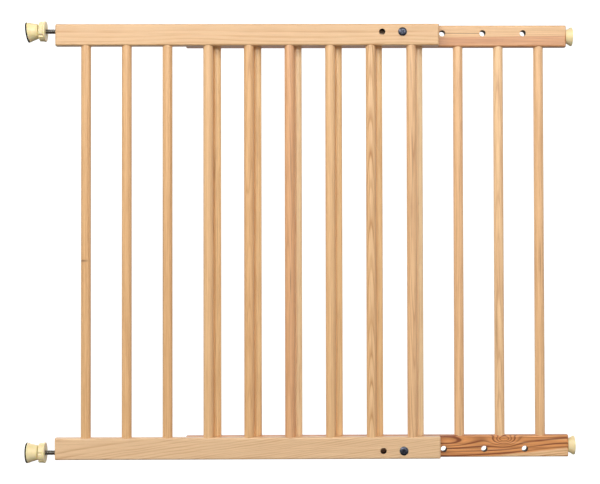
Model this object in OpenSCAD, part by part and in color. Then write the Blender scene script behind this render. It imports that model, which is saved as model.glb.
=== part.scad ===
// Extending wooden safety gate, held between two walls by pressure. Sizes are in millimetres.
// Two ladder panels lie face to face. The rear one carries the fixed stops at the right end,
// the front one carries the screw adjusters at the left end, and two bolts lock them together.
// X runs along the gate from the adjusters to the fixed stops, Y away from the bolt heads, Z up.
// The origin is the centre of the lower fixed stop's wall face.

/* [Panels] */
// Height of each panel over its two rails
gate_h = 720; // [600:1:900]
// Number of bars in each panel
bar_count = 9; // [7:1:12]
// Distance between neighbouring bars, centre to centre, and between the lock holes
bar_pitch = 67.5; // [55:0.25:82]
// Diameter of a bar
bar_d = 16.5; // [12:0.5:22]
// Wood left between a bar's bore and the rail's face
bar_wall = 0.7; // [0.5:0.1:5]
// Distance from a rail's left end to its first bar
bar_start = 50; // [40:1:80]
// Distance from the last bar to a rail's right end
bar_end = 46; // [40:1:80]
// Height of a rail
rail_h = 36; // [33:0.5:50]
// Radius of the rounding on a rail's edges
rail_r = 3; // [1:0.5:4]
// Gap between the two panels
panel_gap = 0.6; // [0.2:0.1:2]

/* [Lock holes and bolts] */
// Diameter of a lock hole
hole_d = 10; // [9:0.5:12]
// Distance from a rail's outer edge to the lock holes
hole_edge = 13.4; // [11:0.1:16]
// Distance from a rear bar back to the lock hole on its left
rear_hole_back = 26.7; // [22:0.1:32]
// Distance from the last front bar back to the bolt's hole
front_hole_back = 14.7; // [12:0.1:18]
// Number of bar pitches by which the front panel stands out to the left
extension_steps = 3; // [1:1:5]
// Number of pitches that the front panel slides either way from there
slide_steps = 3; // [1:1:3]
// Diameter of the bolt's thread
bolt_d = 6; // [5:0.5:7]
// Distance that the bolt's head stands out round the lock hole
head_land = 2.25; // [1.5:0.05:4]
// Height of the bolt's head
bolt_head_h = 2.8; // [2:0.1:4]
// Length of the bolt's shank
bolt_l = 27; // [22:0.5:33]
// Distance that the sleeve's barrel ends short of the front face
sleeve_short = 4; // [2:0.5:8]
// Distance that the flange on the sleeve's back end stands out round the lock hole
flange_land = 2.5; // [1.5:0.1:4]
// Thickness of that flange
sleeve_flange_t = 2; // [1:0.1:3]

/* [Screw adjusters] */
// Diameter of the threaded rod
rod_d = 8; // [6:0.5:10]
// Distance from a rail's outer edge to the rod
rod_edge = 11.5; // [9:0.1:14]
// Length of the rod inside the rail
rod_in = 74; // [50:1:90]
// Distance that the ball on the rod's outer end stands out round the rod
ball_lip = 2; // [1.5:0.1:3]
// Angle that a pad tilts either way from straight
swing = 8.5; // [5:0.5:10]
// Distance from the rail's end to the washer
wheel_gap = 16; // [8:0.5:25]
// Diameter of the smooth washer
washer_d = 34; // [28:0.5:42]
// Thickness of the washer
washer_t = 3; // [2:0.1:5]
// Diameter of the lobed wheel
wheel_d = 33; // [28:0.5:40]
// Thickness of the wheel
wheel_t = 7.5; // [5:0.1:12]
// Number of finger lobes on the wheel
lobe_count = 8; // [5:1:12]
// Angle that the upper wheel stands at
top_wheel_set = 14; // [0:1:45]
// Angle that the lower wheel stands at
bottom_wheel_set = 3; // [0:1:45]
// Gap left between the wheel and a cup at its full tilt
tilt_gap = 0.43; // [0.2:0.01:2]
// Diameter of the cup's narrow end
cup_narrow_d = 23.6; // [19:0.1:29]
// Plastic left between the ball's socket and the rubber's seat
cup_web = 1.95; // [1:0.05:6]
// Diameter of the cup's rim
cup_rim_d = 33; // [27:0.1:40]
// Thickness of the cup's rim
cup_rim_t = 2.2; // [1.5:0.1:4]
// Diameter of the rubber's spigot in the cup
spigot_d = 14; // [10:0.5:18]
// Length of that spigot
spigot_l = 3; // [2:0.1:5]
// Diameter of the rubber pad
pad_d = 33.6; // [28:0.1:40]
// Thickness of the rubber pad
pad_t = 2.3; // [1:0.1:4]
// Angle by which the upper pad droops
top_droop = 7; // [0:0.5:8]
// Angle by which the lower pad droops
bottom_droop = 1.5; // [0:0.5:8]

/* [Fixed stops] */
// Length of a fixed stop outside the rail
stop_l = 10.8; // [8:0.1:20]
// Diameter at the rail
stop_narrow_d = 21; // [16:0.5:26]
// Diameter at the wall
stop_wide_d = 31.5; // [26:0.5:40]
// Diameter of the stem in the rail's end
stem_d = 8; // [6:0.5:10]
// Length of the stem
stem_l = 24; // [15:1:26]

/* [Clearances] */
// Glue gap round a bar's end
glue_gap = 0.05; // [0.02:0.01:0.2]
// Gap between a bar's end and the bottom of its bore
bar_end_gap = 0.5; // [0.2:0.1:2]
// Wood left between a bar's bore and the rod's bore
bore_web = 1.8; // [1:0.1:4]
// Gap round the rod in the rail, and beyond its end
rod_gap = 0.3; // [0.1:0.1:1]
// Gap round the rod in the wheel and the washer
thread_gap = 0.06; // [0.03:0.01:0.2]
// Gap round the ball in its socket
ball_gap = 0.1; // [0.05:0.01:0.3]
// Gap round the rod in the socket's mouth at full tilt
mouth_gap = 0.5; // [0.2:0.05:1]
// Gap round the sleeve's barrel in a lock hole
sleeve_gap = 0.3; // [0.1:0.05:1]
// Gap round the bolt in the sleeve, and round a stem or spigot in its seat
seat_gap = 0.05; // [0.03:0.01:0.2]

/* [Hidden] */
$fn = 64;
cut = 1; // how far a cutting shape stands out of what it cuts

front_bars = [for (i = [1 : bar_count]) str("front_bar_", i)];
rear_bars = [for (i = [1 : bar_count]) str("rear_bar_", i)];
side_parts = ["fixed_stop", "adjuster_rod", "adjuster_washer", "adjuster_wheel", "pad_cup", "pad_rubber",
              "lock_bolt", "lock_sleeve"];

// Panels
rail_t = bar_d + 2 * (glue_gap + bar_wall);
rail_l = bar_start + (bar_count - 1) * bar_pitch + bar_end;
hole_pitch = bar_pitch;
panel_offset = extension_steps * hole_pitch + rear_hole_back - front_hole_back;
rear_x = -stop_l - rail_l;          // left ends of the rear rails
front_x = rear_x - panel_offset;    // left ends of the front rails
rear_y = 0;                         // middle of the rear panel's thickness
front_y = -rail_t - panel_gap;      // middle of the front panel's thickness
rod_bore_d = rod_d + 2 * rod_gap;
bar_bore_depth = rail_h - rod_edge - rod_bore_d / 2 - bore_web;
rail_span = gate_h - rail_h;        // between the middles of the two rails
bar_l = gate_h - 2 * rail_h + 2 * (bar_bore_depth - bar_end_gap);

// Lock holes, measured from a rail's left end
bar_x = [for (i = [0 : bar_count - 1]) bar_start + i * bar_pitch];
bolt_x = bar_x[bar_count - 1] - front_hole_back;
front_holes = [bolt_x, bolt_x - hole_pitch / 2];
bolt_bar = bar_count - 1 - extension_steps;
rear_holes = [for (i = [bolt_bar - slide_steps : bolt_bar + slide_steps])
    if (i >= 0 && i < bar_count) bar_x[i] - rear_hole_back];

// Adjusters, measured from the front rail's left end
rod_bore_l = rod_in + wheel_gap + cut; // the rod can go in until the washer meets the rail
washer_x = -wheel_gap - washer_t;
wheel_x = washer_x - wheel_t;
ball_r = rod_d / 2 + ball_lip;
socket_r = ball_r + ball_gap;
ball_proud = 0.2;                   // the socket's sphere would stand this far out of the cup's narrow end
ball_in = socket_r - ball_proud;    // the ball's centre, from the cup's narrow end
cup_l = ball_in + socket_r + cup_web + spigot_l + seat_gap;
cup_chamfer = 1.4;
cup_face_r = cup_narrow_d / 2 - cup_chamfer;
swing_room = cup_face_r * sin(swing) - ball_in * (1 - cos(swing)); // the narrow end's edge moves this far
cup_x = wheel_x - swing_room - tilt_gap;                           // narrow end of a straight cup
ball_x = cup_x - ball_in;

// Lock bolts and sleeves
bolt_head_d = hole_d + 2 * head_land;
head_slope = 2.5;                   // width of the cone round the head's flat top
head_top_d = bolt_head_d - 2 * head_slope;
sleeve_flange_d = hole_d + 2 * flange_land;
barrel_d = hole_d - 2 * sleeve_gap;
barrel_l = 2 * rail_t + panel_gap - sleeve_short;
bolt_run_out = 3;                   // empty thread beyond the bolt's tip
sleeve_bore_l = bolt_l - sleeve_short + bolt_run_out;

wood_light = [0.91, 0.77, 0.58];
wood_dark = [0.82, 0.60, 0.40];
cream = [0.96, 0.90, 0.72];
rubber = [0.08, 0.08, 0.08];
steel = [0.62, 0.64, 0.68];

// Sign of the direction from a panel's middle to its rail's outer edge, and the rail's height
function outward(side) = side == "top" ? 1 : -1;
function rail_z(side) = side == "top" ? rail_span : 0;
function edge_z(side, distance) = rail_z(side) + outward(side) * (rail_h / 2 - distance);
function droop(side) = side == "top" ? top_droop : bottom_droop;
function wheel_set(side) = side == "top" ? top_wheel_set : bottom_wheel_set;

// Radius that the tilted rod needs at a distance from the ball's centre
function mouth_r(distance) = rod_d / 2 / cos(swing) + distance * tan(swing) + mouth_gap;

// A rectangle with round corners, from the origin
module round_rectangle(w, h, r) {
    translate([r, 0]) square([w - 2 * r, h]);
    translate([0, r]) square([w, h - 2 * r]);
    for (x = [r, w - r], y = [r, h - r]) translate([x, y]) circle(r);
}

// A rail's outer shape, from its left end, centred in thickness and height
module rail_blank() {
    translate([0, -rail_t / 2, -rail_h / 2])
        intersection() {
            rotate([90, 0, 90]) linear_extrude(rail_l) round_rectangle(rail_t, rail_h, rail_r);
            linear_extrude(rail_h) round_rectangle(rail_l, rail_t, rail_r);
        }
}

// A rail with its bar bores and lock holes, in its place. Children are cut from it in its own frame,
// from its left end, with Z pointing to its outer edge
module rail(x, y, side, holes) {
    color(y == rear_y && side == "bottom" ? wood_dark : wood_light)
        translate([x, y, rail_z(side)]) mirror([0, 0, side == "top" ? 0 : 1])
            difference() {
                rail_blank();
                for (at = bar_x) translate([at, 0, -rail_h / 2 - cut])
                    cylinder(h = bar_bore_depth + cut, d = bar_d + 2 * glue_gap);
                for (at = holes) translate([at, -rail_t / 2 - cut, rail_h / 2 - hole_edge])
                    rotate([-90, 0, 0]) cylinder(h = rail_t + 2 * cut, d = hole_d);
                children();
            }
}

module front_rail(side) {
    rail(front_x, front_y, side, front_holes)
        translate([-cut, 0, rail_h / 2 - rod_edge]) rotate([0, 90, 0])
            cylinder(h = rod_bore_l + cut, d = rod_bore_d);
}

module rear_rail(side) {
    rail(rear_x, rear_y, side, rear_holes)
        translate([rail_l - stem_l - cut, 0, 0]) rotate([0, 90, 0])
            cylinder(h = stem_l + 2 * cut, d = stem_d + 2 * seat_gap);
}

module bar(x, y, index) {
    color(wood_light)
        translate([x + bar_x[index - 1], y, rail_span / 2 - bar_l / 2]) cylinder(h = bar_l, d = bar_d);
}

// Moulded stop at the wall end, with its stem in the rail
module fixed_stop(side) {
    rim = 2.5;
    edge = 0.8;
    color(cream)
        translate([0, rear_y, rail_z(side)]) rotate([0, 90, 0]) rotate_extrude() polygon([
            [0, 0], [stop_wide_d / 2 - edge, 0], [stop_wide_d / 2, -edge], [stop_wide_d / 2, -rim],
            [stop_narrow_d / 2, -stop_l], [stem_d / 2, -stop_l], [stem_d / 2, edge - stop_l - stem_l],
            [stem_d / 2 - edge, -stop_l - stem_l], [0, -stop_l - stem_l]]);
}

// Places what is modelled along +Z on the adjuster's axis: Z = 0 is the rail's end, and +Z points to the wall
module on_adjuster(side) {
    translate([front_x, front_y, edge_z(side, rod_edge)]) rotate([0, -90, 0]) children();
}

module adjuster_rod(side) {
    tip = 1;
    color(steel) on_adjuster(side) {
        translate([0, 0, -rod_in + tip]) cylinder(h = rod_in - ball_x - tip, d = rod_d);
        translate([0, 0, -rod_in]) cylinder(h = tip, d1 = rod_d - 2 * tip, d2 = rod_d);
        translate([0, 0, -ball_x]) sphere(ball_r);
    }
}

// Smooth disc that bears on the rail and stays still while the wheel turns
module adjuster_washer(side) {
    edge = 1;
    recess = 1.6;
    recess_w = 2.5;
    bore = rod_d / 2 + thread_gap;
    color(cream) on_adjuster(side)
        translate([0, 0, wheel_gap]) rotate_extrude() polygon([
            [bore, recess], [bore + recess_w, 0], [washer_d / 2 - edge, 0], [washer_d / 2, edge],
            [washer_d / 2, washer_t], [bore, washer_t]]);
}

// Lobed hand nut. The grooves between its lobes are round
module adjuster_wheel(side) {
    groove_r = 2.4;
    groove_out = 0.9;
    color(cream) on_adjuster(side)
        translate([0, 0, wheel_gap + washer_t]) linear_extrude(wheel_t) difference() {
            circle(d = wheel_d);
            circle(rod_d / 2 + thread_gap);
            for (i = [0 : lobe_count - 1]) rotate(wheel_set(side) + i * 360 / lobe_count)
                translate([wheel_d / 2 + groove_out, 0]) circle(groove_r);
        }
}

// Places what is modelled from the cup's narrow end along +Z on the ball, with the droop
module on_ball(side) {
    on_adjuster(side) translate([0, 0, -ball_x]) rotate([0, -droop(side), 0])
        translate([0, 0, -ball_in]) children();
}

module pad_cup(side) {
    step_out = 0.7;
    step_up = 0.5;
    color(cream) on_ball(side) difference() {
        rotate_extrude() polygon([
            [0, 0], [cup_face_r, 0], [cup_narrow_d / 2, cup_chamfer],
            [cup_rim_d / 2 - step_out, cup_l - cup_rim_t - step_up], [cup_rim_d / 2, cup_l - cup_rim_t],
            [cup_rim_d / 2, cup_l], [0, cup_l]]);
        translate([0, 0, ball_in]) sphere(socket_r);
        translate([0, 0, -cut]) cylinder(h = ball_in + cut, r1 = mouth_r(ball_in + cut), r2 = mouth_r(0));
        translate([0, 0, cup_l - spigot_l - seat_gap])
            cylinder(h = spigot_l + cut, d = spigot_d + 2 * seat_gap);
    }
}

module pad_rubber(side) {
    edge = 0.8;
    color(rubber) on_ball(side) translate([0, 0, cup_l]) rotate_extrude() polygon([
        [0, -spigot_l], [spigot_d / 2, -spigot_l], [spigot_d / 2, 0], [pad_d / 2, 0],
        [pad_d / 2, pad_t - edge], [pad_d / 2 - edge, pad_t], [0, pad_t]]);
}

// Places what is modelled along +Z on a lock bolt's axis: Z = 0 is the front face, and +Z points rearward
module on_bolt(side) {
    translate([front_x + bolt_x, front_y - rail_t / 2, edge_z(side, hole_edge)])
        rotate([-90, 0, 0]) children();
}

// A cross recess, cut into a head whose top is at Z = 0 with the shank along +Z
module cross_recess(depth) {
    rim = 1;
    arm = head_top_d - 2 * rim;
    width = 1.6;
    for (a = [45, 135]) rotate(a) translate([-arm / 2, -width / 2, -cut]) cube([arm, width, depth + cut]);
}

module lock_bolt(side) {
    edge = 1;
    recess = 1.8;
    color(steel) on_bolt(side) difference() {
        union() {
            translate([0, 0, -edge]) cylinder(h = edge, d = bolt_head_d);
            translate([0, 0, -bolt_head_h])
                cylinder(h = bolt_head_h - edge, d1 = head_top_d, d2 = bolt_head_d);
            cylinder(h = bolt_l, d = bolt_d);
        }
        translate([0, 0, -bolt_head_h]) cross_recess(recess);
    }
}

// Threaded sleeve that comes through both panels from the back
module lock_sleeve(side) {
    recess = 1.2;
    color(steel) on_bolt(side) difference() {
        union() {
            translate([0, 0, sleeve_short]) cylinder(h = barrel_l, d = barrel_d);
            translate([0, 0, sleeve_short + barrel_l]) cylinder(h = sleeve_flange_t, d = sleeve_flange_d);
        }
        translate([0, 0, sleeve_short - cut]) cylinder(h = sleeve_bore_l + cut, d = bolt_d + 2 * seat_gap);
        translate([0, 0, sleeve_short + barrel_l + sleeve_flange_t]) mirror([0, 0, 1]) cross_recess(recess);
    }
}

front_rail("top");  // front_top_rail
front_rail("bottom");  // front_bottom_rail
rear_rail("top");  // rear_top_rail
rear_rail("bottom");  // rear_bottom_rail
for (i = [1 : bar_count]) {
    bar(front_x, front_y, i);
    bar(rear_x, rear_y, i);
}
for (side = ["top", "bottom"]) {
    fixed_stop(side);
    adjuster_rod(side);
    adjuster_washer(side);
    adjuster_wheel(side);
    pad_cup(side);
    pad_rubber(side);
    lock_bolt(side);
    lock_sleeve(side);
}
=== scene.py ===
"""Looks of the extending wooden safety gate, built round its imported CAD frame. Lengths are in metres."""
import math

import bmesh
import bpy
from mathutils import Matrix, Vector


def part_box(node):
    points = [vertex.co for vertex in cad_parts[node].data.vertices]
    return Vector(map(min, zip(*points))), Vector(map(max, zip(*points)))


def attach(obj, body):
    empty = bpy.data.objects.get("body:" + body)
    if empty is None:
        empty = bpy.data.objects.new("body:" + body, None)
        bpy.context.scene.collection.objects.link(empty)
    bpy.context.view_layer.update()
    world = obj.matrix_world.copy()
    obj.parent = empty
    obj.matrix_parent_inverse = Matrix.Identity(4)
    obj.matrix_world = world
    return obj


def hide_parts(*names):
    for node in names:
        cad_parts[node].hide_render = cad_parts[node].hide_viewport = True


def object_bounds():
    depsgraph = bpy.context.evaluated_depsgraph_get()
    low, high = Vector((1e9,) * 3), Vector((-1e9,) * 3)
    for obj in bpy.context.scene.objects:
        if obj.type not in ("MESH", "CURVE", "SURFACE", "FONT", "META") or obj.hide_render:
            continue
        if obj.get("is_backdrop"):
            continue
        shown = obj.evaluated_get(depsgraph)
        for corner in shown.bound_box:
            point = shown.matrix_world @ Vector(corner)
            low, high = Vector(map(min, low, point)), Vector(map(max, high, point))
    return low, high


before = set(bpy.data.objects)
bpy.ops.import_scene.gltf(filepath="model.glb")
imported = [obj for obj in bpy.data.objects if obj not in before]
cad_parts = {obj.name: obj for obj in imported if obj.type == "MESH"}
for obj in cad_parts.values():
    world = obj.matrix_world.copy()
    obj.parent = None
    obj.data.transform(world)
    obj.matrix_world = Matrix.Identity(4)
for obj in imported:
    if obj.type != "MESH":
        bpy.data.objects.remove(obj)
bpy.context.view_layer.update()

MM = 0.001
TO_MM = (1000, 1000, 1000)
SIDES = ("top", "bottom")
BAR_COUNT = sum(1 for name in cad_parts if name.startswith("front_bar_"))

# Sizes that the nodes' boxes don't give
HOLE_R = 5 * MM
HOLE_PITCH = 67.5 * MM
OPEN_HOLE_SHIFT = -HOLE_PITCH / 2
RAIL_ROUND = 3 * MM
RAIL_END_ROUND = 0.8 * MM
BAR_FIT = 0.05 * MM
BAR_BORE_SPARE = 0.5 * MM
ROD_BORE_R = 4.3 * MM
ROD_BORE_L = 91 * MM
STEM_R = 4 * MM
STEM_L = 24 * MM
ROD_R = 4 * MM
ROD_CLEAR_R = 4.06 * MM
ROD_PITCH = 1.25 * MM
BALL_R = 6 * MM
BALL_FROM_CUP_END = 5.9
BOLT_PITCH = 1 * MM
CUT_PAST = 2 * MM

# The cross recess of the bolts and sleeves, in millimetres and degrees
CROSS_ARM, CROSS_WIDTH, CROSS_TURN = 7.8, 1.9, 45
BOLT_CROSS_DEPTH, SLEEVE_CROSS_DEPTH = 1.9, 1.2

# Degrees: how far each cup droops at rest, and where each wheel's lobes stand
DROOP = {"top": 7.0, "bottom": 1.5}
WHEEL_SET = {"top": 14.0, "bottom": 3.0}

# How dark pine is over one ring, as (place in the ring, tone)
RING_TONES = ((0.0, 0.55), (0.07, 0.12), (0.3, 0.0), (0.6, 0.16), (0.82, 0.62), (0.93, 1.0), (1.0, 0.6))


# ---------------------------------------------------------------- meshes

def mesh_object(name, verts, faces):
    mesh = bpy.data.meshes.new(name)
    mesh.from_pydata([tuple(v) for v in verts], [], faces)
    mesh.validate()
    obj = bpy.data.objects.new(name, mesh)
    bpy.context.scene.collection.objects.link(obj)
    return obj


def soften(points, radii, steps=5):
    """The outline with its corners rounded. radii maps a point's index to the radius of its arc."""
    out = []
    for i, point in enumerate(points):
        radius = radii.get(i, 0)
        if not radius:
            out.append(point)
            continue
        p, a, b = Vector(point), Vector(points[i - 1]), Vector(points[(i + 1) % len(points)])
        u, v = (a - p).normalized(), (b - p).normalized()
        half = math.acos(max(-1, min(1, u.dot(v)))) / 2
        reach = min(radius / math.tan(half), 0.49 * (a - p).length, 0.49 * (b - p).length)
        radius = reach * math.tan(half)
        centre = p + (u + v).normalized() * radius / math.sin(half)
        start, end = p + u * reach - centre, p + v * reach - centre
        turn = start.angle_signed(end)
        for k in range(steps + 1):
            t = turn * k / steps
            c, s = math.cos(-t), math.sin(-t)
            out.append((centre.x + start.x * c - start.y * s, centre.y + start.x * s + start.y * c))
    return out


def groove(phase):
    """Depth of a thread's groove, from 0 at the crest to 1 at the root, over one turn."""
    phase = abs((phase % 1) - 0.5) * 2
    return min(1, max(0, (phase - 0.12) / 0.64))


def lathe_mesh(profile, place, segments=96, pitch=1, loop=False, radius_at=None):
    """Turns a profile of (radius, height) or (radius, height, thread depth) round Z, and places it.
    It closes at the axis at both ends, or onto itself where loop is set."""
    verts, rings = [], []
    for point in profile:
        r, z = point[0], point[1]
        depth = point[2] if len(point) > 2 else 0
        if r < 1e-7:
            rings.append([len(verts)])
            verts.append(place @ Vector((0, 0, z)))
            continue
        ring = []
        for i in range(segments):
            a = 2 * math.pi * i / segments
            radius = radius_at(a, r, z) if radius_at else r
            if depth:
                radius -= depth * groove(z / pitch - i / segments)
            ring.append(len(verts))
            verts.append(place @ Vector((radius * math.cos(a), radius * math.sin(a), z)))
        rings.append(ring)
    faces = []
    count = len(rings)
    for k in range(count if loop else count - 1):
        a, b = rings[k], rings[(k + 1) % count]
        for i in range(segments):
            j = (i + 1) % segments
            if len(a) == 1 and len(b) == 1:
                break
            if len(a) == 1:
                faces.append((a[0], b[j], b[i]))
            elif len(b) == 1:
                faces.append((a[i], a[j], b[0]))
            else:
                faces.append((a[i], a[j], b[j], b[i]))
    return verts, faces


def joined(parts):
    verts, faces = [], []
    for v, f in parts:
        start = len(verts)
        verts += v
        faces += [tuple(i + start for i in face) for face in f]
    return verts, faces


def outward(obj):
    """Makes every face point outward."""
    bm = bmesh.new()
    bm.from_mesh(obj.data)
    bmesh.ops.recalc_face_normals(bm, faces=bm.faces)
    bm.to_mesh(obj.data)
    bm.free()


def cut(obj, cutter_mesh):
    """Takes the cutter's shapes out of obj."""
    cutter = mesh_object("cutter", *cutter_mesh)
    outward(obj)
    outward(cutter)
    modifier = obj.modifiers.new("cut", "BOOLEAN")
    modifier.object = cutter
    modifier.operation = "DIFFERENCE"
    modifier.solver = "EXACT"
    result = bpy.data.meshes.new_from_object(obj.evaluated_get(bpy.context.evaluated_depsgraph_get()))
    obj.modifiers.clear()
    obj.data = result
    bpy.data.objects.remove(cutter)


def finish_piece(obj, node, body, slot, *materials, angle=32):
    """Shades the piece, and makes it stand for its CAD node."""
    outward(obj)
    mesh = obj.data
    mesh.materials.clear()
    for material in materials:
        mesh.materials.append(material)
    mesh.polygons.foreach_set("use_smooth", [True] * len(mesh.polygons))
    mesh.set_sharp_from_angle(angle=math.radians(angle))
    weighted = obj.modifiers.new("normals", "WEIGHTED_NORMAL")
    weighted.keep_sharp = True
    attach(obj, body)
    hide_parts(node)


# ---------------------------------------------------------------- materials

class Graph:
    """A material's node tree, with short ways to add to it."""

    def __init__(self, name):
        self.material = bpy.data.materials.new(name)
        self.material.use_nodes = True
        self.tree = self.material.node_tree
        self.shader = self.tree.nodes["Principled BSDF"]

    def put(self, socket, value):
        if isinstance(value, bpy.types.NodeSocket):
            self.tree.links.new(value, socket)
        elif isinstance(value, (tuple, list)) and socket.type == "RGBA":
            socket.default_value = (*value, 1) if len(value) == 3 else value
        else:
            socket.default_value = value

    def math(self, operation, a, b=0.0, c=0.0):
        node = self.tree.nodes.new("ShaderNodeMath")
        node.operation = operation
        for socket, value in zip(node.inputs, (a, b, c)):
            self.put(socket, value)
        return node.outputs[0]

    def vector(self, operation, a, b=(0, 0, 0)):
        node = self.tree.nodes.new("ShaderNodeVectorMath")
        node.operation = operation
        self.put(node.inputs[0], a)
        self.put(node.inputs[1], b)
        return node.outputs["Value" if operation == "LENGTH" else "Vector"]

    def combine(self, x, y, z):
        node = self.tree.nodes.new("ShaderNodeCombineXYZ")
        for socket, value in zip(node.inputs, (x, y, z)):
            self.put(socket, value)
        return node.outputs[0]

    def split(self, vector):
        node = self.tree.nodes.new("ShaderNodeSeparateXYZ")
        self.put(node.inputs[0], vector)
        return node.outputs

    def coordinates(self, kind="Object"):
        return self.tree.nodes.new("ShaderNodeTexCoord").outputs[kind]

    def millimetres(self):
        return self.vector("MULTIPLY", self.coordinates(), TO_MM)

    def noise(self, vector, scale=1.0, detail=2.0, roughness=0.5):
        node = self.tree.nodes.new("ShaderNodeTexNoise")
        self.put(node.inputs["Vector"], vector)
        node.inputs["Scale"].default_value = scale
        node.inputs["Detail"].default_value = detail
        node.inputs["Roughness"].default_value = roughness
        return node.outputs[0]

    def step(self, value, low, high, to_low=0.0, to_high=1.0):
        node = self.tree.nodes.new("ShaderNodeMapRange")
        node.interpolation_type = "SMOOTHSTEP"
        for socket, v in zip(node.inputs, (value, low, high, to_low, to_high)):
            self.put(socket, v)
        return node.outputs[0]

    def ramp(self, value, stops):
        node = self.tree.nodes.new("ShaderNodeValToRGB")
        elements = node.color_ramp.elements
        while len(elements) < len(stops):
            elements.new(0.5)
        for element, (position, shade) in zip(elements, stops):
            element.position = position
            element.color = (shade, shade, shade, 1)
        self.put(node.inputs[0], value)
        return node.outputs[0]

    def mix(self, factor, a, b, kind="MIX"):
        node = self.tree.nodes.new("ShaderNodeMix")
        node.data_type = "RGBA"
        node.blend_type = kind
        node.clamp_factor = True
        self.put(node.inputs[0], factor)
        self.put(node.inputs[6], a)
        self.put(node.inputs[7], b)
        return node.outputs[2]

    def bump(self, height, distance, strength=1.0):
        node = self.tree.nodes.new("ShaderNodeBump")
        node.inputs["Distance"].default_value = distance
        node.inputs["Strength"].default_value = strength
        self.put(node.inputs["Height"], height)
        self.put(self.shader.inputs["Normal"], node.outputs[0])

    def set(self, **values):
        for name, value in values.items():
            self.put(self.shader.inputs[name.replace("_", " ")], value)


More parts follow.
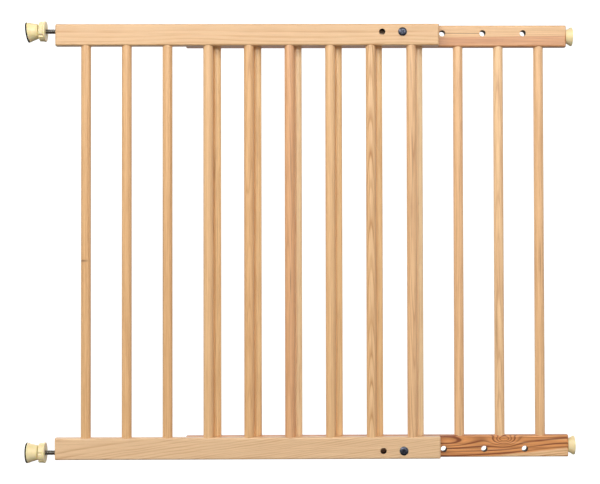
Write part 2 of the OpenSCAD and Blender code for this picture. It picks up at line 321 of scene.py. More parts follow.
def wood(name, centre, along, light, dark, pith=(30, 0), lean=(0, 0), ring=2.2, line=0.6, seed=0,
         swells=(), marks=(), heart=None, waver=0.8, streak=0.5):
    """Pine with growth rings round a pith line. Sizes are in millimetres: pith is the line's depth and height
    beside the piece's middle, lean its slope in each, ring the distance between rings. A swell bends the
    rings round a place, as (along, across, half length, half width, rings). A mark is a darker place, in the
    same form with its strength. heart is (rings out from the pith, softness in rings, light colour, dark
    colour). waver is how far the pith line wanders, line and streak how strong the rings and streaks are."""
    g = Graph(name)
    local = g.vector("SUBTRACT", g.coordinates(), centre)
    local = g.vector("MULTIPLY", local, TO_MM)
    x, y, z = g.split(local)
    run, across = (x, z) if along == "X" else (z, x)
    shift = 37.0 * (seed + 1)

    def along_grain(run_scale, side_scale, start=shift):
        """Coordinates of a noise that is drawn out along the grain."""
        return g.combine(g.math("MULTIPLY_ADD", run, run_scale, start),
                         g.math("MULTIPLY", y, side_scale), g.math("MULTIPLY", across, side_scale))

    wave = along_grain(0.006, 0.02)
    depth_wave = g.math("MULTIPLY_ADD", g.noise(wave, 1, 2), 2 * waver, -waver)
    wave_2 = g.vector("ADD", wave, (11.3, 5.1, 2.7))
    height_wave = g.math("MULTIPLY_ADD", g.noise(wave_2, 1, 3), 4 * waver, -2 * waver)
    depth = g.math("ADD", g.math("MULTIPLY_ADD", run, lean[0], -pith[0]), g.math("ADD", y, depth_wave))
    height = g.math("ADD", g.math("MULTIPLY_ADD", run, lean[1], -pith[1]), g.math("ADD", across, height_wave))
    radius = g.vector("LENGTH", g.combine(0.0, depth, height))
    rings = g.math("MULTIPLY", radius, 1 / ring)

    def place_weight(spot):
        at, over, half_length, half_width = spot[:4]
        u = g.math("MULTIPLY_ADD", run, 1 / half_length, -at / half_length)
        v = g.math("MULTIPLY_ADD", across, 1 / half_width, -over / half_width)
        square = g.math("MULTIPLY_ADD", u, u, g.math("MULTIPLY", v, v))
        return g.math("EXPONENT", g.math("MULTIPLY", square, -1.0))

    for swell in swells:
        rings = g.math("MULTIPLY_ADD", place_weight(swell), swell[4], rings)
    uneven = g.noise(g.combine(g.math("MULTIPLY_ADD", rings, 0.45, shift), 0.3, 0.7), 1, 1)
    spaced = g.math("MULTIPLY_ADD", uneven, 1.6, rings)
    turn = g.math("FRACT", spaced)
    late = g.ramp(turn, RING_TONES)

    # Rings differ in strength, and fade here and there along the piece
    fade_at = g.combine(g.math("MULTIPLY_ADD", run, 0.009, shift), g.math("MULTIPLY", rings, 0.8), 4.0)
    fade = g.step(g.noise(fade_at, 1, 2), 0.36, 0.64, 0.35, 1.15)
    ring_tone = g.math("MULTIPLY", g.math("MULTIPLY", late, fade), line)

    fine = g.noise(along_grain(0.035, 1.7), 1, 4, 0.65)
    streaks = g.noise(along_grain(0.010, 0.5, shift + 9), 1, 3, 0.6)
    pores = g.step(g.noise(along_grain(0.12, 4.2), 1, 1), 0.68, 0.80)

    early_colour, late_colour = light, dark
    if heart:
        edge, softness, heart_light, heart_dark = heart
        wander = g.math("MULTIPLY_ADD", streaks, 1.2, rings)
        inside = g.step(wander, edge - softness, edge + softness, 1.0, 0.0)
        early_colour = g.mix(inside, light, heart_light)
        late_colour = g.mix(inside, dark, heart_dark)
    colour = g.mix(ring_tone, early_colour, late_colour)
    streak_tone = g.step(streaks, 0.45, 0.72, 0.0, streak)
    colour = g.mix(streak_tone, colour, late_colour)
    light_streak = g.step(streaks, 0.46, 0.26, 0.0, 0.35)
    colour = g.mix(light_streak, colour, tuple(min(1, c * 1.12 + 0.02) for c in light))
    for mark in marks:
        strength = g.math("MULTIPLY", place_weight(mark), mark[4])
        colour = g.mix(strength, colour, (0.20, 0.075, 0.02))
    grey = g.math("MULTIPLY_ADD", fine, 0.30, 0.85)
    colour = g.mix(1.0, colour, g.combine(grey, grey, grey), "MULTIPLY")
    colour = g.mix(g.math("MULTIPLY", pores, 0.35), colour, (0.30, 0.13, 0.045))

    # The cut ends are darker and duller
    normal = g.split(g.coordinates("Normal"))[0 if along == "X" else 2]
    end = g.step(g.math("ABSOLUTE", normal), 0.75, 0.97)
    colour = g.mix(g.math("MULTIPLY", end, 0.45), colour, (0.42, 0.22, 0.09))
    rough = g.math("MULTIPLY_ADD", fine, 0.22, 0.24)
    rough = g.math("MULTIPLY_ADD", end, 0.30, rough)
    relief = g.math("MULTIPLY_ADD", ring_tone, 0.4, g.math("MULTIPLY", pores, -0.6))
    relief = g.math("MULTIPLY_ADD", fine, 0.6, relief)
    g.bump(relief, 0.00012, 0.8)
    g.set(Base_Color=colour, Roughness=rough, Coat_Weight=0.35, Coat_Roughness=0.22)
    return g.material


def drilled_wood_painted_shade():
    """The walls of a lock hole: cut fibres, a little darker as end grain, and painted near-black for the
    shade deep in the hole.
    """
    g = Graph("drilled_pine_painted_shade")
    at = g.millimetres()
    fuzz = g.noise(at, 1.6, 3, 0.6)
    # Painted shade: these near-black browns stand for the shade inside the hole more than for the end grain's
    # own colour
    colour = g.mix(g.step(fuzz, 0.35, 0.7), (0.035, 0.014, 0.005), (0.085, 0.038, 0.014))
    g.bump(fuzz, 0.0003, 0.6)
    g.set(Base_Color=colour, Roughness=g.math("MULTIPLY_ADD", fuzz, 0.2, 0.6))
    return g.material


def cream_plastic():
    g = Graph("cream_plastic")
    at = g.millimetres()
    cloud = g.noise(at, 0.09, 3)
    speck = g.noise(at, 3.2, 2)
    colour = g.mix(g.step(cloud, 0.3, 0.7), (0.93, 0.76, 0.405), (0.95, 0.81, 0.48))
    colour = g.mix(g.math("MULTIPLY", g.step(speck, 0.62, 0.8), 0.18), colour, (0.70, 0.52, 0.24))
    g.bump(g.math("MULTIPLY_ADD", speck, 0.4, g.noise(at, 0.6, 2)), 0.00012, 0.5)
    g.set(Base_Color=colour, Roughness=g.math("MULTIPLY_ADD", cloud, 0.14, 0.27))
    g.set(Subsurface_Weight=0.25, Subsurface_Radius=(1.0, 0.62, 0.25), Subsurface_Scale=0.0025)
    return g.material


def black_rubber():
    g = Graph("black_rubber")
    at = g.millimetres()
    grain = g.noise(at, 2.4, 4, 0.65)
    dust = g.noise(at, 0.25, 3)
    colour = g.mix(g.step(dust, 0.45, 0.8, 0.0, 0.6), (0.005, 0.005, 0.005), (0.022, 0.021, 0.020))
    g.bump(grain, 0.00025, 0.6)
    g.set(Base_Color=colour, Roughness=g.math("MULTIPLY_ADD", dust, 0.2, 0.65), Specular_IOR_Level=0.12)
    return g.material


def steel(name, pale, dull, scored):
    g = Graph(name)
    at = g.millimetres()
    cloud = g.noise(at, 0.5, 3, 0.6)
    scratch = g.noise(g.vector("MULTIPLY", at, (0.4, 5.0, 5.0)), 1, 3, 0.7)
    colour = g.mix(g.step(cloud, 0.3, 0.7), dull, pale)
    colour = g.mix(g.math("MULTIPLY", g.step(scratch, 0.6, 0.8), 0.5), colour, scored)
    rough = g.math("MULTIPLY_ADD", scratch, 0.16, g.math("MULTIPLY_ADD", cloud, 0.14, 0.08))
    g.bump(scratch, 0.00004, 0.5)
    g.set(Base_Color=colour, Roughness=rough, Metallic=1.0)
    return g.material


# ---------------------------------------------------------------- camera, floor and light

def camera():
    """The photograph's view: camera 2.2 m in front of the gate, turned a little left and up."""
    data = bpy.data.cameras.new("camera")
    data.sensor_fit = "HORIZONTAL"
    data.sensor_width = 36
    data.lens = 78.8904
    data.shift_x, data.shift_y = -0.0429667, -0.0308667
    data.clip_end = 100
    obj = bpy.data.objects.new("camera", data)
    yaw, pitch, roll = (math.radians(a) for a in (-0.49, 1.08, -0.14))
    yaw_turn = Matrix(((math.cos(yaw), math.sin(yaw), 0), (-math.sin(yaw), math.cos(yaw), 0), (0, 0, 1)))
    pitch_turn = Matrix(((1, 0, 0), (0, math.cos(pitch), math.sin(pitch)),
                         (0, -math.sin(pitch), math.cos(pitch))))
    roll_turn = Matrix(((math.cos(roll), 0, math.sin(roll)), (0, 1, 0),
                        (-math.sin(roll), 0, math.cos(roll))))
    right, ahead, up = roll_turn @ (pitch_turn @ yaw_turn)
    turn = Matrix((right, up, -ahead)).transposed().to_4x4()
    obj.matrix_world = Matrix.Translation((-0.43266, -2.2, 0.32967)) @ turn
    bpy.context.scene.collection.objects.link(obj)
    bpy.context.scene.camera = obj


def area_light(name, at, aim, size, power):
    data = bpy.data.lights.new(name, "AREA")
    data.shape = "RECTANGLE"
    data.size, data.size_y = size
    data.energy = power
    obj = bpy.data.objects.new(name, data)
    obj.location = at
    obj.rotation_euler = (Vector(aim) - Vector(at)).to_track_quat("-Z", "Y").to_euler()
    bpy.context.scene.collection.objects.link(obj)


def studio(floor_z):
    """A pale room with soft lights. The floor and the wall it curves up into only keep some of the room's
    light off the gate. The camera sees a pale bowl in their place."""
    middle_x = -0.45
    bend, back, front, half, top = 1.2, 3.2, -6.0, 7.0, 5.0
    section = [(front, 0), (0, 0)]
    section += [(back - bend + bend * math.sin(a), bend - bend * math.cos(a))
                for a in (math.pi / 2 * k / 24 for k in range(25))]
    section.append((back, top))
    verts = [(x + middle_x, y, floor_z + z) for y, z in section for x in (-half, half)]
    faces = [(2 * k, 2 * k + 1, 2 * k + 3, 2 * k + 2) for k in range(len(section) - 1)]
    floor = mesh_object("floor", verts, faces)
    floor.data.polygons.foreach_set("use_smooth", [True] * len(faces))
    g = Graph("pale_floor")
    g.set(Base_Color=(0.35, 0.35, 0.35), Roughness=0.9, Emission_Color=(1, 1, 1), Emission_Strength=1.0)
    g.set(Specular_IOR_Level=0.0)
    floor.data.materials.append(g.material)
    # Its wall would hide the gate from a camera behind it
    floor.visible_camera = floor.visible_diffuse = floor.visible_glossy = False
    floor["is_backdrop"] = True

    # A pale bowl round it all, which only the camera sees
    radius, edge, wall, below_floor = 12.0, 3.0, 9.0, 0.01
    profile = [(0, -below_floor), (radius - edge, -below_floor)]
    profile += [(radius - edge + edge * math.sin(a), edge - edge * math.cos(a))
                for a in (math.pi / 2 * k / 16 for k in range(1, 17))]
    profile.append((radius, wall))
    bowl = mesh_object("backdrop", *lathe_mesh(profile, Matrix.Translation((middle_x, 0, floor_z)), 96))
    bowl.data.materials.append(g.material)
    bowl.visible_diffuse = bowl.visible_glossy = bowl.visible_shadow = bowl.visible_transmission = False
    bowl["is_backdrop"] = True

    world = bpy.data.worlds.new("room")
    world.use_nodes = True
    nodes, links = world.node_tree.nodes, world.node_tree.links
    direction = nodes.new("ShaderNodeTexCoord")
    height = nodes.new("ShaderNodeSeparateXYZ")
    shade = nodes.new("ShaderNodeValToRGB")
    rise = nodes.new("ShaderNodeMath")
    rise.operation = "MULTIPLY_ADD"
    rise.inputs[1].default_value = rise.inputs[2].default_value = 0.5
    links.new(direction.outputs["Generated"], height.inputs[0])
    links.new(height.outputs["Z"], rise.inputs[0])
    links.new(rise.outputs[0], shade.inputs[0])
    links.new(shade.outputs[0], nodes["Background"].inputs["Color"])

    # The room's brightness from straight down (0) to straight up (1)
    levels = ((0.0, 0.06), (0.4, 0.45), (0.5, 0.80), (0.6, 1.0), (0.75, 0.68), (1.0, 0.12))
    while len(shade.color_ramp.elements) < len(levels):
        shade.color_ramp.elements.new(0.5)
    for element, (height_at, level) in zip(shade.color_ramp.elements, levels):
        element.position = height_at
        element.color = (level, level, 1.01 * level, 1)
    nodes["Background"].inputs["Strength"].default_value = 0.92
    bpy.context.scene.world = world

    # The sheen lamp whitens the upper third of the bars. Further right, the back lamp would glare in the
    # washers' right faces
    area_light("front", (middle_x, -1.7, 2.0), (middle_x, 0, 0.4), (3.6, 0.7), 18.5)
    area_light("sheen", (middle_x, -2.4, 1.28), (middle_x, 0, 0.6), (4.0, 0.3), 23)
    area_light("left", (-1.9, -1.9, 1.9), (middle_x, 0, 0.5), (0.9, 0.9), 14)
    area_light("back", (-1.35, 1.7, 1.4), (middle_x, 0, 0.35), (1.0, 0.6), 9)
    bpy.context.scene.view_settings.view_transform = "Standard"


# ---------------------------------------------------------------- wooden pieces

def rail_shape(name, low, high):
    """A rail with round edges, from its box."""
    centre = (low + high) / 2
    half_t, half_h = (high.y - low.y) / 2, (high.z - low.z) / 2
    steps = 7
    depths = [d * MM for d in (0, 0.06, 0.2, 0.45, 0.8, 1.3, 2.0, 3.0)]

    def inset(distance, radius):
        return 0 if distance >= radius else radius - math.sqrt(radius ** 2 - (radius - distance) ** 2)

    stations = [(low.x + d, d) for d in depths] + [(high.x - d, d) for d in reversed(depths)]
    verts, faces = [], []
    for x, d in stations:
        ht, hh = half_t - inset(d, RAIL_ROUND), half_h - inset(d, RAIL_END_ROUND)
        for sy, sz, start in ((1, 1, 0), (-1, 1, 90), (-1, -1, 180), (1, -1, 270)):
            for k in range(steps + 1):
                a = math.radians(start + 90 * k / steps)
                verts.append((x, centre.y + sy * (ht - RAIL_ROUND) + RAIL_ROUND * math.cos(a),
                              centre.z + sz * (hh - RAIL_ROUND) + RAIL_ROUND * math.sin(a)))
    count = 4 * (steps + 1)
    for k in range(len(stations) - 1):
        for i in range(count):
            j = (i + 1) % count
            faces.append((k * count + i, k * count + j, (k + 1) * count + j, (k + 1) * count + i))
    faces.append(tuple(range(count)))
    faces.append(tuple(range((len(stations) - 1) * count, len(stations) * count)))
    return mesh_object(name, verts, faces)


def hole_cutter(x, y_front, y_back, z):
    """A hole from the front to the back of a rail, with its rims eased."""
    ease, flare = 0.35 * MM, 0.2 * MM
    length = y_back - y_front
    rim, slope = HOLE_R + flare, HOLE_R + 0.3 * flare
    profile = [(0, -CUT_PAST), (rim, -CUT_PAST), (rim, 0), (slope, 0.4 * ease), (HOLE_R, ease),
               (HOLE_R, length - ease), (slope, length - 0.4 * ease), (rim, length),
               (rim, length + CUT_PAST), (0, length + CUT_PAST)]
    place = Matrix.Translation((x, y_front, z)) @ Matrix.Rotation(-math.pi / 2, 4, "X")
    return lathe_mesh(profile, place, 64)


def bore_cutter(start, end, radius, ease=0):
    """A round bore from start, on the surface, to its bottom at end."""
    axis = end - start
    profile = [(0, -CUT_PAST), (radius + ease, -CUT_PAST)]
    if ease:
        profile += [(radius + ease, 0), (radius, ease * 1.2)]
    profile += [(radius, axis.length), (0, axis.length)]
    place = Matrix.Translation(start) @ axis.to_track_quat("Z", "Y").to_matrix().to_4x4()
    return lathe_mesh(profile, place, 64)


def rails(woods, drilled):
    for panel in ("front", "rear"):
        for side in SIDES:
            node = f"{panel}_{side}_rail"
            low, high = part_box(node)
            piece = rail_shape("wood_" + node, low, high)
            inner = low.z if side == "top" else high.z
            bolt_low, bolt_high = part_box(f"{side}_lock_bolt")
            bolt = (bolt_low + bolt_high) / 2
            cutters = []
            for i in range(1, BAR_COUNT + 1):
                bar_low, bar_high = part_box(f"{panel}_bar_{i}")
                x, y = (bar_low.x + bar_high.x) / 2, (bar_low.y + bar_high.y) / 2
                end = bar_high.z + BAR_BORE_SPARE if side == "top" else bar_low.z - BAR_BORE_SPARE
                radius = (bar_high.x - bar_low.x) / 2 + BAR_FIT
                cutters.append(bore_cutter(Vector((x, y, inner)), Vector((x, y, end)), radius))
            shifts = (0, OPEN_HOLE_SHIFT) if panel == "front" else [k * HOLE_PITCH for k in range(-3, 4)]
            holes = [bolt.x + shift for shift in shifts]
            cutters += [hole_cutter(x, low.y, high.y, bolt.z) for x in holes]
            if panel == "front":
                rod_low, rod_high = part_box(f"{side}_adjuster_washer")
                z = (rod_low.z + rod_high.z) / 2
                y = (low.y + high.y) / 2
                mouth, bottom = Vector((low.x, y, z)), Vector((low.x + ROD_BORE_L, y, z))
                cutters.append(bore_cutter(mouth, bottom, ROD_BORE_R, ease=0.4 * MM))
            else:
                y, z = (low.y + high.y) / 2, (low.z + high.z) / 2
                mouth, bottom = Vector((high.x, y, z)), Vector((high.x - STEM_L, y, z))
                cutters.append(bore_cutter(mouth, bottom, STEM_R + BAR_FIT))
            cut(piece, joined(cutters))
            finish_piece(piece, node, f"{panel}_panel", "pine_dark" if node == "rear_bottom_rail" else "pine",
                         woods[node], drilled)
            # Faces inside the lock holes take the drilled wood with its painted shade
            reach = HOLE_R + 0.2 * MM
            in_hole = [any(math.hypot(v.co.x - x, v.co.z - bolt.z) < reach for x in holes)
                       for v in piece.data.vertices]
            for face in piece.data.polygons:
                if all(in_hole[i] for i in face.vertices):
                    face.material_index = 1


def bars(woods):
    for panel in ("front", "rear"):
        for i in range(1, BAR_COUNT + 1):
            node = f"{panel}_bar_{i}"
            low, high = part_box(node)
            r, length = (high.x - low.x) / 2, high.z - low.z
            ease = 1 * MM
            profile = soften([(0, 0), (r, 0), (r, length), (0, length)], {1: ease, 2: ease}, 4)
            place = Matrix.Translation(((low.x + high.x) / 2, (low.y + high.y) / 2, low.z))
            piece = mesh_object("wood_" + node, *lathe_mesh(profile, place, 72))
            finish_piece(piece, node, f"{panel}_panel", "pine", woods[node])


# ---------------------------------------------------------------- turned and moulded pieces

def adjuster_frame(side):
    """Z = 0 is the front rail's left end, and +Z points to the wall."""
    rail_low, rail_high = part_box(f"front_{side}_rail")
    low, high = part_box(f"{side}_adjuster_washer")
    origin = Vector((rail_low.x, (rail_low.y + rail_high.y) / 2, (low.z + high.z) / 2))
    return Matrix.Translation(origin) @ Matrix.Rotation(-math.pi / 2, 4, "Y")


def thread_rings(r, start, end, depth, pitch, per_turn=10):
    """Rings of a thread that runs out at both ends."""
    count = round((end - start) / pitch * per_turn)
    out = []
    for k in range(count + 1):
        z = start + (end - start) * k / count
        run_out = min(1, (z - start) / pitch, (end - z) / pitch)
        out.append((r, z, depth * max(run_out, 0.02)))
    return out


def adjuster_rod(side, place, steel):
    node = f"{side}_adjuster_rod"
    low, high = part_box(node)
    origin = place.translation.x
    inner, outer = origin - high.x, origin - low.x
    ball_z, neck_r = outer - BALL_R, 0.86 * ROD_R
    neck = ball_z - math.sqrt(BALL_R ** 2 - neck_r ** 2)
    profile = [(0, inner), (ROD_R - 1.1 * MM, inner), (ROD_R - 0.62 * MM, inner + 0.5 * MM)]
    profile += thread_rings(ROD_R, inner + 0.8 * MM, neck - 1.2 * MM, 0.68 * MM, ROD_PITCH)
    profile.append((neck_r, neck - 0.7 * MM))
    start = math.acos((neck - ball_z) / BALL_R)
    profile += [(BALL_R * math.sin(a), ball_z + BALL_R * math.cos(a))
                for a in (start * (1 - k / 24) for k in range(24))]
    profile.append((0, outer))
    piece = mesh_object("steel_" + node, *lathe_mesh(profile, place, 48, ROD_PITCH))
    finish_piece(piece, node, f"{side}_rod", "zinc_steel", steel, angle=50)


def adjuster_washer(side, place, plastic):
    node = f"{side}_adjuster_washer"
    low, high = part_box(node)
    z = place.translation.x - high.x
    r, thick, bore = (high.z - low.z) / 2, high.x - low.x, ROD_CLEAR_R
    outline = [(bore, z + 1.6 * MM), (bore + 2.5 * MM, z), (r, z), (r, z + thick), (bore, z + thick)]
    profile = soften(outline, {0: 0.2 * MM, 1: 0.4 * MM, 2: 1 * MM, 3: 0.6 * MM, 4: 0.2 * MM}, 6)
    piece = mesh_object("plastic_" + node, *lathe_mesh(profile, place, 128, loop=True))
    finish_piece(piece, node, f"{side}_washer", "cream_plastic", plastic)


def adjuster_wheel(side, place, plastic, lobes=8):
    """A hand nut with round grooves between its lobes."""
    node = f"{side}_adjuster_wheel"
    low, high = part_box(node)
    z, thick = place.translation.x - high.x, high.x - low.x
    r, bore, edge = 16.5 * MM, ROD_CLEAR_R, 1.1 * MM
    groove_r, groove_at, blend = 2.4 * MM, r + 0.9 * MM, 0.5 * MM

    def lobed(angle, ring_r, _):
        """The lobed outline, in from its edge by as much as the ring is."""
        if ring_r < r - 2.4 * MM:
            return ring_r
        step = 2 * math.pi / lobes
        off = (angle - math.radians(WHEEL_SET[side]) + step / 2) % step - step / 2
        side_way = groove_at * math.sin(off)
        reach = r
        if abs(side_way) < groove_r:
            reach = groove_at * math.cos(off) - math.sqrt(groove_r ** 2 - side_way ** 2)
        h = max(0, min(1, 0.5 + (r - reach) / (2 * blend)))
        smooth = r * (1 - h) + reach * h - blend * h * (1 - h)
        return min(r, smooth) - (r - ring_r)

    hub = 8.5 * MM
    web, web_end, web_sunk = 11.2 * MM, 12.2 * MM, 0.5 * MM
    outline = [(bore, z), (hub, z), (hub + 1.2 * MM, z + web_sunk), (web, z + web_sunk), (web_end, z), (r, z),
               (r, z + thick), (web_end, z + thick), (bore, z + thick)]
    soft = {0: 0.3 * MM, 5: edge, 6: edge, 8: 0.3 * MM, 1: 0.3 * MM, 4: 0.3 * MM}
    profile = soften(outline, soft, 7)
    piece = mesh_object("plastic_" + node, *lathe_mesh(profile, place, 256, loop=True, radius_at=lobed))
    finish_piece(piece, node, f"{side}_wheel", "cream_plastic", plastic)


def cup_frame(side, place):
    """Z = 0 is the cup's narrow end, and +Z points to the wall, with the droop round the ball."""
    low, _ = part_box(f"{side}_adjuster_rod")
    ball_z = place.translation.x - low.x - BALL_R
    turn = Matrix.Rotation(-math.radians(DROOP[side]), 4, "Y")
    cup_end = Matrix.Translation((0, 0, -BALL_FROM_CUP_END * MM))
    return place @ Matrix.Translation((0, 0, ball_z)) @ turn @ cup_end


def pad(side, place, plastic, rubber):
    """The cup with its ball socket, and the ribbed rubber in it. Sizes here are in millimetres."""
    socket_r, ball_at, length = 6.1, BALL_FROM_CUP_END, 17.0
    mouth_face, neck = 5.43, 5.04
    neck_at = ball_at - math.sqrt(socket_r ** 2 - neck ** 2)
    outline = [(0, 13.95), (7.05, 13.95), (7.05, length), (16.5, length), (16.5, 14.8), (15.8, 14.25),
               (15.62, 13.7), (11.8, 0), (mouth_face, 0), (neck, neck_at)]
    soft = {3: 0.5, 4: 0.6, 5: 0.3, 7: 1.5, 8: 0.4}
    profile = soften(outline, soft, 6)
    start = math.atan2(neck, ball_at - neck_at)
    profile += [(socket_r * math.sin(a), ball_at - socket_r * math.cos(a))
                for a in (start + (math.pi - start) * k / 20 for k in range(1, 20))]
    profile.append((0, ball_at + socket_r))
    profile = [(r * MM, z * MM) for r, z in profile]
    piece = mesh_object(f"plastic_{side}_pad_cup", *lathe_mesh(profile, place, 128))
    finish_piece(piece, f"{side}_pad_cup", f"{side}_pad", "cream_plastic", plastic)

    face = length + 2.3
    outline = [(0, 14), (7, 14), (7, length), (16.8, length), (16.8, face)]
    soft = {1: 0.4, 3: 0.3, 4: 0.8}
    for r in (12.5, 9, 5.5):
        outline += [(r + 0.9, face), (r + 0.45, face - 0.45), (r - 0.45, face - 0.45), (r - 0.9, face)]
    outline.append((0, face))
    profile = [(r * MM, z * MM) for r, z in soften(outline, soft, 6)]
    piece = mesh_object(f"rubber_{side}_pad", *lathe_mesh(profile, place, 128))
    finish_piece(piece, f"{side}_pad_rubber", f"{side}_pad", "black_rubber", rubber)


def fixed_stop(side, plastic):
    """A conical stop on a ringed stem. Sizes here are in millimetres."""
    node = f"{side}_fixed_stop"
    low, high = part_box(node)
    centre = Vector((high.x, (low.y + high.y) / 2, (low.z + high.z) / 2))
    place = Matrix.Translation(centre) @ Matrix.Rotation(math.pi / 2, 4, "Y")
    wide, narrow, length, rim = 15.75, 10.5, 10.8, 2.3
    stem_end = length + STEM_L / MM
    outline = [(0, -0.7), (8.6, -0.7), (10, 0), (wide, 0), (wide, -rim), (wide - 0.35, -rim - 0.25),
               (narrow, -length), (4, -length)]
    for ring_at in (5, 11, 17):
        outline += [(4, -length - ring_at), (3.6, -length - ring_at - 1.2)]
    outline += [(4, -stem_end + 1.2), (3.2, -stem_end), (0, -stem_end)]
    soft = {1: 0.5, 2: 0.5, 3: 0.9, 4: 0.5, 6: 0.5}
    profile = [(r * MM, z * MM) for r, z in soften(outline, soft, 6)]
    piece = mesh_object("plastic_" + node, *lathe_mesh(profile, place, 128))
    finish_piece(piece, node, "rear_panel", "cream_plastic", plastic)


def bolt_frame(side):
    """Z = 0 is the front rail's front face, and +Z points rearward."""
    low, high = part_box(f"{side}_lock_bolt")
    rail_low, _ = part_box(f"front_{side}_rail")
    origin = ((low.x + high.x) / 2, rail_low.y, (low.z + high.z) / 2)
    return Matrix.Translation(origin) @ Matrix.Rotation(-math.pi / 2, 4, "X")


def cross_cutter(place, top, bottom):
    """A cross recess that narrows with depth. Heights are in millimetres."""
    verts = []
    c, s = math.cos(math.radians(CROSS_TURN)), math.sin(math.radians(CROSS_TURN))
    for z, k in ((top, 1.0), (bottom, 0.52)):
        a, w = CROSS_ARM / 2 * k, CROSS_WIDTH / 2 * (0.6 + 0.4 * k)
        outline = [(a, -w), (a, w), (w, w), (w, a), (-w, a), (-w, w),
                   (-a, w), (-a, -w), (-w, -w), (-w, -a), (w, -a), (w, -w)]
        verts += [place @ Vector(((x * c - y * s) * MM, (x * s + y * c) * MM, z * MM)) for x, y in outline]
    faces = [(i, (i + 1) % 12, 12 + (i + 1) % 12, 12 + i) for i in range(12)]
    faces += [tuple(range(12)), tuple(range(12, 24))]
    return verts, faces


def lock_bolt(side, place, steel, recess):
    node = f"{side}_lock_bolt"
    low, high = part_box(node)
    head_r, head_h = (high.x - low.x) / 2 / MM, 2.8
    length = (high.y - place.translation.y) / MM
    outline = [(0, -head_h), (4.3, -head_h + 0.12), (6.5, -1.55), (head_r, -0.95), (head_r, -0.25),
               (head_r - 0.25, 0), (2.9, 0)]
    soft = {1: 1.6, 2: 2.0, 3: 0.3, 4: 0.15}
    profile = [(r * MM, z * MM) for r, z in soften(outline, soft, 7)]
    profile += thread_rings(3 * MM, 0.8 * MM, (length - 0.8) * MM, 0.55 * MM, BOLT_PITCH)
    profile += [(2.3 * MM, length * MM), (0, length * MM)]
    piece = mesh_object("steel_" + node, *lathe_mesh(profile, place, 64, BOLT_PITCH))
    recess_floor = -head_h + BOLT_CROSS_DEPTH
    cut(piece, cross_cutter(place, -head_h - 0.5, recess_floor))
    finish_piece(piece, node, f"{side}_bolt", "zinc_steel", steel, recess, angle=40)
    # Faces on the floor of the cross recess take the dark steel, as painted shade for the recess
    back = place.inverted()
    local = [back @ v.co for v in piece.data.vertices]
    sunk = [abs(p.z / MM - recess_floor) < 0.3 and p.xy.length < 3.5 * MM for p in local]
    for face in piece.data.polygons:
        face.material_index = int(any(sunk[i] for i in face.vertices))


def lock_sleeve(side, place, steel):
    node = f"{side}_lock_sleeve"
    low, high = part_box(node)
    start = (low.y - place.translation.y) / MM
    back = (high.y - place.translation.y) / MM
    flange_r, flange_t, barrel_r, bore = (high.x - low.x) / 2 / MM, 2.0, 4.7, 3.05
    bore_end = start + 26
    flange_end = back - flange_t
    outline = [(0, back), (flange_r, back), (flange_r, flange_end), (barrel_r, flange_end), (barrel_r, start),
               (bore + 0.5, start)]
    profile = [(r * MM, z * MM) for r, z in soften(outline, {1: 0.9, 2: 0.2, 4: 0.5}, 6)]
    profile += thread_rings(bore * MM, (start + 0.6) * MM, (bore_end - 0.6) * MM, -0.4 * MM, BOLT_PITCH)
    profile += [(bore * MM, bore_end * MM), (0, (bore_end + 1) * MM)]
    piece = mesh_object("steel_" + node, *lathe_mesh(profile, place, 64, BOLT_PITCH))
    cut(piece, cross_cutter(place, back + 0.5, back - SLEEVE_CROSS_DEPTH))
    finish_piece(piece, node, f"{side}_sleeve", "zinc_steel", steel, angle=40)


# ---------------------------------------------------------------- wood of each piece

def middle(node):
    low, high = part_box(node)
    return tuple((low + high) / 2)


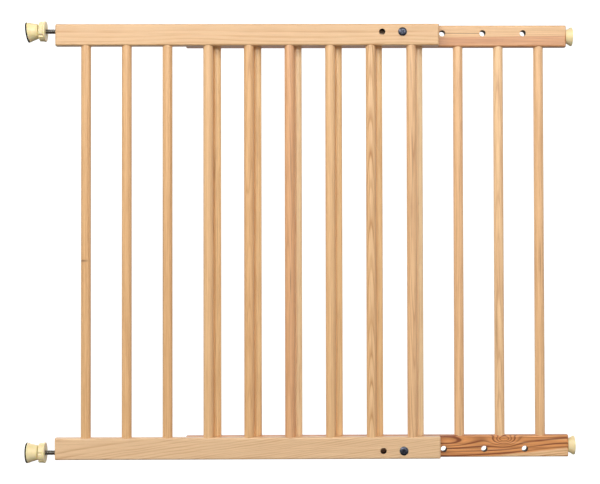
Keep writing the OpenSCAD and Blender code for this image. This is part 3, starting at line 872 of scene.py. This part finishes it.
def wood_materials():
    pale, pale_line = (0.83, 0.515, 0.250), (0.60, 0.305, 0.115)
    warm, warm_line = (0.81, 0.480, 0.218), (0.52, 0.240, 0.075)
    pink, pink_line = (0.80, 0.440, 0.210), (0.46, 0.195, 0.075)
    woods = {
        "front_top_rail": wood(
            "pine_front_top_rail", middle("front_top_rail"), "X", (0.755, 0.478, 0.240), pale_line,
            pith=(42, 12), ring=2.7, line=0.8, seed=1,
            swells=((-95, -20, 75, 20, 1.3), (255, -22, 60, 14, 1.6)), waver=0.4, streak=0.25),
        "front_bottom_rail": wood(
            "pine_front_bottom_rail", middle("front_bottom_rail"), "X", (0.825, 0.550, 0.31),
            (0.60, 0.330, 0.152), pith=(24, 52), lean=(0, -0.15), ring=3.1, line=0.8, seed=2,
            waver=2.2, streak=0.3),
        "rear_top_rail": wood(
            "pine_rear_top_rail", middle("rear_top_rail"), "X", (0.815, 0.513, 0.256), (0.57, 0.285, 0.108),
            pith=(12, -60), lean=(0, -0.012), ring=2.6, line=0.75, seed=3,
            heart=(23.8, 0.35, (0.69, 0.333, 0.145), (0.43, 0.17, 0.068)), waver=0.5, streak=0.4),
        "rear_bottom_rail": wood(
            "pine_rear_bottom_rail", middle("rear_bottom_rail"), "X", (0.88, 0.56, 0.30), (0.60, 0.30, 0.11),
            pith=(34, 16), ring=3.3, line=1.7, seed=4,
            swells=((211, 12, 17, 9, -4.2), (110, 9, 36, 9, -1.9), (345, -16, 110, 30, 3.0)),
            heart=(17.3, 0.2, (0.80, 0.335, 0.100), (0.25, 0.060, 0.010)), waver=0.7, streak=0.5),
    }
    # Each bar: light colour, line colour, pith (depth, side), lean, ring, line strength, and its own extras
    front = [
        (warm, warm_line, (8, -34), (0, 0.004), 2.6, 0.40, dict(marks=((-32, -3, 1.6, 6.5, 0.8),))),
        (warm, warm_line, (14, 30), (0, -0.003), 2.8, 0.35, {}),
        (warm, warm_line, (-10, -36), (0, 0.005), 3.0, 0.40, dict(marks=((-60, -7.6, 190, 1.2, 0.45),))),
        (pale, pale_line, (18, 34), (0.004, 0.0), 3.0, 0.35, {}),
        (warm, warm_line, (30, -4), (0.022, 0.004), 1.9, 0.55, dict(swells=((105, 0, 90, 5, -1.6),))),
        (pink, pink_line, (26, 10), (0.018, -0.008), 1.8, 0.60,
         dict(marks=((-70, 1.5, 26, 1.0, 0.6), (120, 2.5, 40, 1.3, 0.4)))),
        (pale, pale_line, (16, -34), (0, 0.004), 2.8, 0.38, {}),
        ((0.86, 0.545, 0.275), warm_line, (32, 2), (0.036, 0.0), 2.3, 1.0, dict(waver=0.5)),
        ((0.86, 0.535, 0.27), pink_line, (24, -10), (-0.016, 0.004), 1.9, 0.55,
         dict(marks=((120, 1.0, 55, 1.0, 0.4), (40, -2.0, 40, 0.9, 0.35)))),
    ]

    # The shaded ones stand behind the front panel at rest, and are paler to make up for its shade
    light, rosy = (0.93, 0.610, 0.320), (0.88, 0.540, 0.270)
    shaded, shaded_pale = (1.0, 0.660, 0.320), (1.0, 0.715, 0.400)
    rear = [
        (shaded, warm_line, (12, 30), (0, 0.004), 2.4, 0.55, dict(marks=((120, -2, 30, 1.6, 0.4),))),
        (shaded, warm_line, (10, -30), (0, 0.003), 2.3, 0.55, {}),
        (shaded_pale, pale_line, (20, 26), (0.006, 0), 2.4, 0.40, {}),
        (shaded, warm_line, (12, -32), (0, -0.004), 2.2, 0.50, {}),
        (shaded, warm_line, (-8, 30), (0, 0.004), 2.6, 0.50, {}),
        (shaded_pale, pale_line, (16, 34), (0, -0.003), 2.6, 0.40, {}),
        (rosy, pink_line, (26, -18), (0.010, 0.003), 2.5, 0.35, {}),
        (light, pink_line, (30, 6), (0.028, 0.002), 2.4, 0.45, dict(marks=((-150, -5, 40, 1.2, 0.5),))),
        (rosy, warm_line, (18, -30), (0, 0.003), 2.0, 0.55, dict(marks=((-30, 0.5, 26, 1.1, 0.5),))),
    ]
    for panel, table in (("front", front), ("rear", rear)):
        for i in range(1, BAR_COUNT + 1):
            early, late, pith, lean, ring, line, own = table[(i - 1) % len(table)]
            node = f"{panel}_bar_{i}"
            seed = i + (10 if panel == "front" else 30)
            woods[node] = wood("pine_" + node, middle(node), "Z", early, late, pith=pith, lean=lean,
                               ring=ring, line=line, seed=seed, **own)
    return woods


camera()
studio(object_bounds()[0][2])
WOODS = wood_materials()
PLASTIC, RUBBER = cream_plastic(), black_rubber()
ROD_STEEL = steel("zinc_rod", (0.36, 0.35, 0.33), (0.22, 0.215, 0.20), (0.12, 0.115, 0.11))
BOLT_STEEL = steel("blued_bolt", (0.125, 0.135, 0.175), (0.045, 0.05, 0.066), (0.25, 0.27, 0.32))
# Painted shade: a near-black steel for the floor of the bolts' cross recess, which lies in shade
RECESS_SHADE_STEEL = steel("bolt_recess_painted_shade", (0.05, 0.06, 0.09), (0.02, 0.022, 0.035), (0.08, 0.09, 0.12))
rails(WOODS, drilled_wood_painted_shade())
bars(WOODS)
for side in SIDES:
    axis = adjuster_frame(side)
    adjuster_rod(side, axis, ROD_STEEL)
    adjuster_washer(side, axis, PLASTIC)
    adjuster_wheel(side, axis, PLASTIC)
    pad(side, cup_frame(side, axis), PLASTIC, RUBBER)
    fixed_stop(side, PLASTIC)
    lock_bolt(side, bolt_frame(side), BOLT_STEEL, RECESS_SHADE_STEEL)
    lock_sleeve(side, bolt_frame(side), ROD_STEEL)
